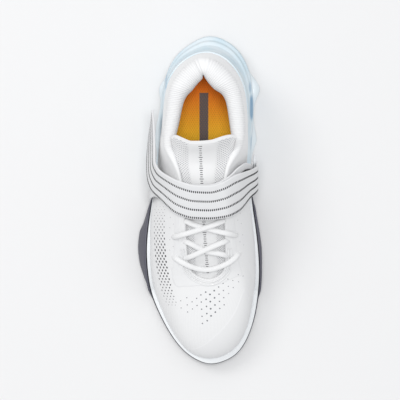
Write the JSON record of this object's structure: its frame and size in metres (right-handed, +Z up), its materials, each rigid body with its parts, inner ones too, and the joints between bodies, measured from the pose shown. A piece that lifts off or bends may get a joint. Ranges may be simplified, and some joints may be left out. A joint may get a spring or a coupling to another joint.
{
  "type": "weightlifting shoe",
  "caption": "Weightlifting shoe with a raised hard heel wedge, padded low collar, tongue, lacing and a wide strap folded back through a side ring",
  "frame": {"origin": "centre of the shoe's bounding box in plan, on the ground plane under the sole", "axes": "+Z up, toe along -Y and heel along +Y, inner (medial) side of the foot along +X"},
  "size_m": [0.1128, 0.2981, 0.1195],
  "materials": {
    "knit_white": "fine knit with a padded collar",
    "overlay_white": "smooth fused overlay",
    "foam_white": "moulded foam",
    "wedge_blue": "pale translucent moulding",
    "clear_rubber": "clear rubber",
    "grey_rubber": "dark matt rubber",
    "orange_mesh": "woven mesh over foam",
    "webbing_white": "flat webbing with dark stitched lines",
    "lace_white": "round braided lace",
    "ring_white": "moulded ring"
  },
  "bodies": {
    "root": {"outsole_forefoot": "grey_rubber", "outsole_heel": "clear_rubber", "midsole": "foam_white", "heel_wedge": "wedge_blue", "insole": "orange_mesh", "upper": "knit_white", "tongue": "knit_white", "eyestay": "overlay_white", "toe_cap": "overlay_white", "strap": "webbing_white", "strap_tab": "webbing_white", "strap_ring": "ring_white", "lace_bar_front": "lace_white", "lace_crossing_low": "lace_white", "lace_crossing_high": "lace_white"}
  },
  "joints": []
}
